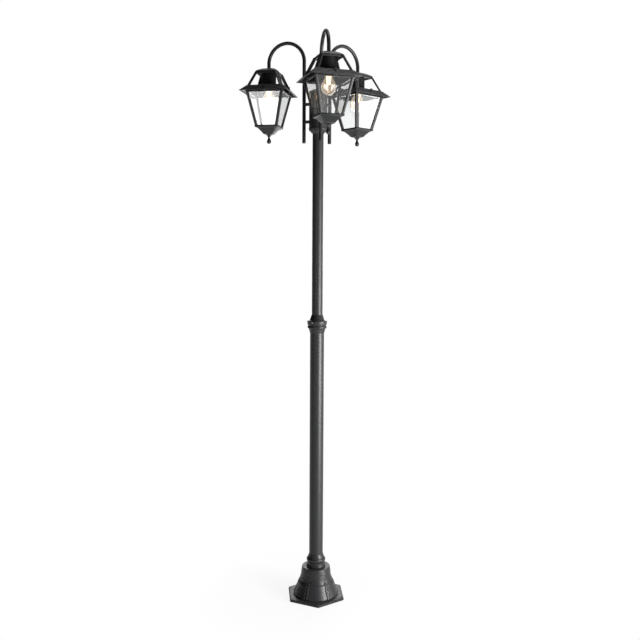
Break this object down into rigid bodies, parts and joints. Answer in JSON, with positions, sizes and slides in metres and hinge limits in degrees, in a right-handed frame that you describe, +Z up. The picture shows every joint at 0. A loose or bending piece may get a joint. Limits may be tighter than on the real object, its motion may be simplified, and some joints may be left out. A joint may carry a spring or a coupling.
{
  "type": "garden lamp post",
  "caption": "Free-standing garden lamp post with a six-sided foot, a two-part round post and hanging square lanterns on bent arms.",
  "frame": {"origin": "centre of the underside of the foot, on the axis of the post", "axes": "+Z up along the post, -Y towards the middle lantern, +X towards the right-hand lantern"},
  "size_m": [0.6584, 0.5875, 2.3874],
  "materials": {
    "post_paint": "satin powder coat, anthracite",
    "head_paint": "satin powder coat, anthracite",
    "housing_black": "matt black",
    "holder_plastic": "matt black",
    "terminal_plastic": "matt, off-white",
    "screw_steel": "zinc plated",
    "knob_metal": "black, knurled",
    "bulb_cap_metal": "bright",
    "bulb_glass": "clear",
    "stem_glass": "clear",
    "filament": "glowing, warm",
    "pane_glass": "clear"
  },
  "bodies": {
    "post": {"foot": "post_paint", "foot_socket_screws": "screw_steel", "foot_terminal_block": "terminal_plastic", "foot_collar": "post_paint", "lower_tube": "post_paint", "mid_collar": "post_paint", "collar_grub_screws": "screw_steel", "upper_tube": "post_paint", "hub_collar": "post_paint", "hub_shell": "post_paint", "hub_cap": "post_paint", "hub_terminal_block": "terminal_plastic", "left_arm": "head_paint", "middle_arm": "head_paint", "right_arm": "head_paint", "arm_stubs": "head_paint", "arm_stub_nuts": "screw_steel"},
    "left_head": {"left_roof": "head_paint", "left_arm_nut": "screw_steel", "left_lamp_housing": "housing_black", "left_lampholder": "holder_plastic", "left_roof_screws": "knob_metal"},
    "left_bulb": {"left_bulb_cap": "bulb_cap_metal", "left_bulb_glass": "bulb_glass", "left_bulb_stem": "stem_glass", "left_bulb_filaments": "filament"},
    "left_body": {"left_cage": "head_paint", "left_top_frame": "head_paint", "left_panes": "pane_glass", "left_finial": "head_paint"},
    "middle_head": {"middle_roof": "head_paint", "middle_arm_nut": "screw_steel", "middle_lamp_housing": "housing_black", "middle_lampholder": "holder_plastic", "middle_roof_screws": "knob_metal"},
    "middle_bulb": {"middle_bulb_cap": "bulb_cap_metal", "middle_bulb_glass": "bulb_glass", "middle_bulb_stem": "stem_glass", "middle_bulb_filaments": "filament"},
    "middle_body": {"middle_cage": "head_paint", "middle_top_frame": "head_paint", "middle_panes": "pane_glass", "middle_finial": "head_paint"},
    "right_head": {"right_roof": "head_paint", "right_arm_nut": "screw_steel", "right_lamp_housing": "housing_black", "right_lampholder": "holder_plastic", "right_roof_screws": "knob_metal"},
    "right_bulb": {"right_bulb_cap": "bulb_cap_metal", "right_bulb_glass": "bulb_glass", "right_bulb_stem": "stem_glass", "right_bulb_filaments": "filament"},
    "right_body": {"right_cage": "head_paint", "right_top_frame": "head_paint", "right_panes": "pane_glass", "right_finial": "head_paint"}
  },
  "joints": [
    {"name": "left_swivel", "type": "hinge", "parent": "post", "child": "left_head", "pos_m": [-0.19312, 0.1115, 2.283], "axis": [0, 0, 1], "range_deg": [-90, 90]},
    {"name": "left_bulb_turn", "type": "hinge", "parent": "left_head", "child": "left_bulb", "pos_m": [-0.19312, 0.1115, 2.117], "axis": [0, 0, 1], "range_deg": [-900, 0]},
    {"name": "left_body_drop", "type": "slide", "parent": "left_head", "child": "left_body", "axis": [0, 0, -1], "range_m": [0, 0.16]},
    {"name": "middle_swivel", "type": "hinge", "parent": "post", "child": "middle_head", "pos_m": [0, -0.223, 2.283], "axis": [0, 0, 1], "range_deg": [-90, 90]},
    {"name": "middle_bulb_turn", "type": "hinge", "parent": "middle_head", "child": "middle_bulb", "pos_m": [0, -0.223, 2.117], "axis": [0, 0, 1], "range_deg": [-900, 0]},
    {"name": "middle_body_drop", "type": "slide", "parent": "middle_head", "child": "middle_body", "axis": [0, 0, -1], "range_m": [0, 0.16]},
    {"name": "right_swivel", "type": "hinge", "parent": "post", "child": "right_head", "pos_m": [0.19312, 0.1115, 2.283], "axis": [0, 0, 1], "range_deg": [-90, 90]},
    {"name": "right_bulb_turn", "type": "hinge", "parent": "right_head", "child": "right_bulb", "pos_m": [0.19312, 0.1115, 2.117], "axis": [0, 0, 1], "range_deg": [-900, 0]},
    {"name": "right_body_drop", "type": "slide", "parent": "right_head", "child": "right_body", "axis": [0, 0, -1], "range_m": [0, 0.16]}
  ]
}
